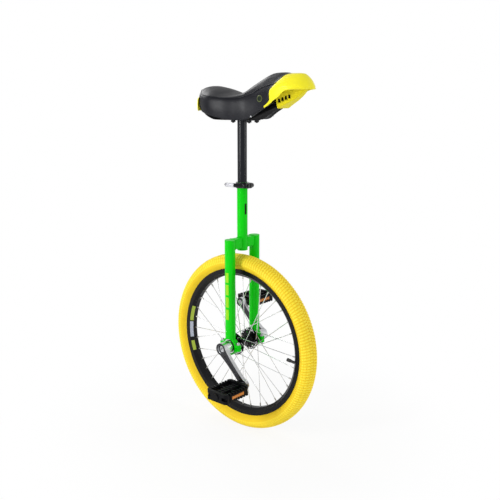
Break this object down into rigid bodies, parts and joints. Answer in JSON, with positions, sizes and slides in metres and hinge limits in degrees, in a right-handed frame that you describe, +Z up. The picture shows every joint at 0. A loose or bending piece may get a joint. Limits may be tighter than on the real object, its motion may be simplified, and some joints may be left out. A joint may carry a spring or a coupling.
{
  "type": "unicycle",
  "caption": "Unicycle: a spoked wheel with direct cranks and pedals under a straight fork, and a curved saddle on a height-adjustable post.",
  "frame": {"origin": "on the ground under the axle, in the wheel's middle plane", "axes": "+X forward (saddle nose), +Y to the rider's left along the axle, +Z up"},
  "size_m": [0.504, 0.392, 0.987],
  "materials": {
    "frame_paint": "gloss powder coat",
    "bolt_steel": "zinc plated",
    "bearing_steel": "ground",
    "seal_rubber": "moulded",
    "clamp_black": "anodised black",
    "clamp_silver": "polished",
    "washer_plastic": "moulded",
    "tyre_rubber": "yellow rubber with ribs",
    "tube_rubber": "plain",
    "tape_plastic": "plain",
    "rim_black": "black anodised",
    "spoke_steel": "drawn wire",
    "nipple_brass": "nickel plated",
    "hub_black": "black anodised",
    "axle_steel": "turned",
    "crank_alloy": "forged, dark grey face",
    "spindle_steel": "turned",
    "pedal_plastic": "moulded",
    "bush_plastic": "moulded",
    "reflector_amber": "prismatic",
    "post_black": "gloss black",
    "saddle_cover": "grained synthetic cover",
    "base_plastic": "moulded",
    "bumper_yellow": "moulded",
    "valve_black": "moulded"
  },
  "bodies": {
    "frame": {"bearing_cap_bolts": "bolt_steel", "bearing_cap_nuts": "bolt_steel", "bearing_seals": "seal_rubber", "clamp_collar": "clamp_black", "clamp_nut": "clamp_black", "clamp_skewer": "clamp_silver", "clamp_washer": "washer_plastic", "left_bearing_cap": "frame_paint", "left_bearing_holder": "frame_paint", "left_bearing_outer_ring": "bearing_steel", "left_crown_bar": "frame_paint", "left_fork_leg": "frame_paint", "right_bearing_cap": "frame_paint", "right_bearing_holder": "frame_paint", "right_bearing_outer_ring": "bearing_steel", "right_crown_bar": "frame_paint", "right_fork_leg": "frame_paint", "seat_tube": "frame_paint"},
    "wheel": {"tyre": "tyre_rubber", "inner_tube": "tube_rubber", "rim_tape": "tape_plastic", "rim": "rim_black", "right_spokes": "spoke_steel", "left_spokes": "spoke_steel", "nipples": "nipple_brass", "hub_shell": "hub_black", "axle": "axle_steel", "axle_spacers": "axle_steel", "bearing_inner_rings": "bearing_steel", "right_crank": "crank_alloy", "left_crank": "crank_alloy", "crank_bolts": "bolt_steel", "right_pedal_spindle": "spindle_steel", "left_pedal_spindle": "spindle_steel", "valve_stem": "valve_black", "valve_cap": "valve_black"},
    "right_pedal": {"right_pedal_body": "pedal_plastic", "right_pedal_bushes": "bush_plastic", "right_pedal_cap": "pedal_plastic", "right_pedal_reflectors": "reflector_amber"},
    "left_pedal": {"left_pedal_body": "pedal_plastic", "left_pedal_bushes": "bush_plastic", "left_pedal_cap": "pedal_plastic", "left_pedal_reflectors": "reflector_amber"},
    "seat": {"seat_post": "post_black", "seat_post_head": "post_black", "saddle_studs": "bolt_steel", "saddle_nuts": "bolt_steel", "saddle_base": "base_plastic", "saddle_cushion": "saddle_cover", "front_bumper": "bumper_yellow", "rear_bumper": "bumper_yellow"},
    "clamp_lever_arm": {"clamp_lever": "clamp_silver"}
  },
  "joints": [
    {"name": "wheel_spin", "type": "hinge", "parent": "frame", "child": "wheel", "pos_m": [0, 0, 0.252], "axis": [0, 1, 0], "continuous": true},
    {"name": "right_pedal_spin", "type": "hinge", "parent": "wheel", "child": "right_pedal", "pos_m": [0.08061, -0.148, 0.17139], "axis": [0, 1, 0], "continuous": true},
    {"name": "left_pedal_spin", "type": "hinge", "parent": "wheel", "child": "left_pedal", "pos_m": [-0.08061, 0.148, 0.33261], "axis": [0, 1, 0], "continuous": true},
    {"name": "seat_height", "type": "slide", "parent": "frame", "child": "seat", "axis": [0, 0, 1], "range_m": [-0.045, 0.05]},
    {"name": "clamp_lever_swing", "type": "hinge", "parent": "frame", "child": "clamp_lever_arm", "pos_m": [0.0235, -0.0161, 0.6955], "axis": [0, 0, 1], "range_deg": [0, 170]}
  ]
}
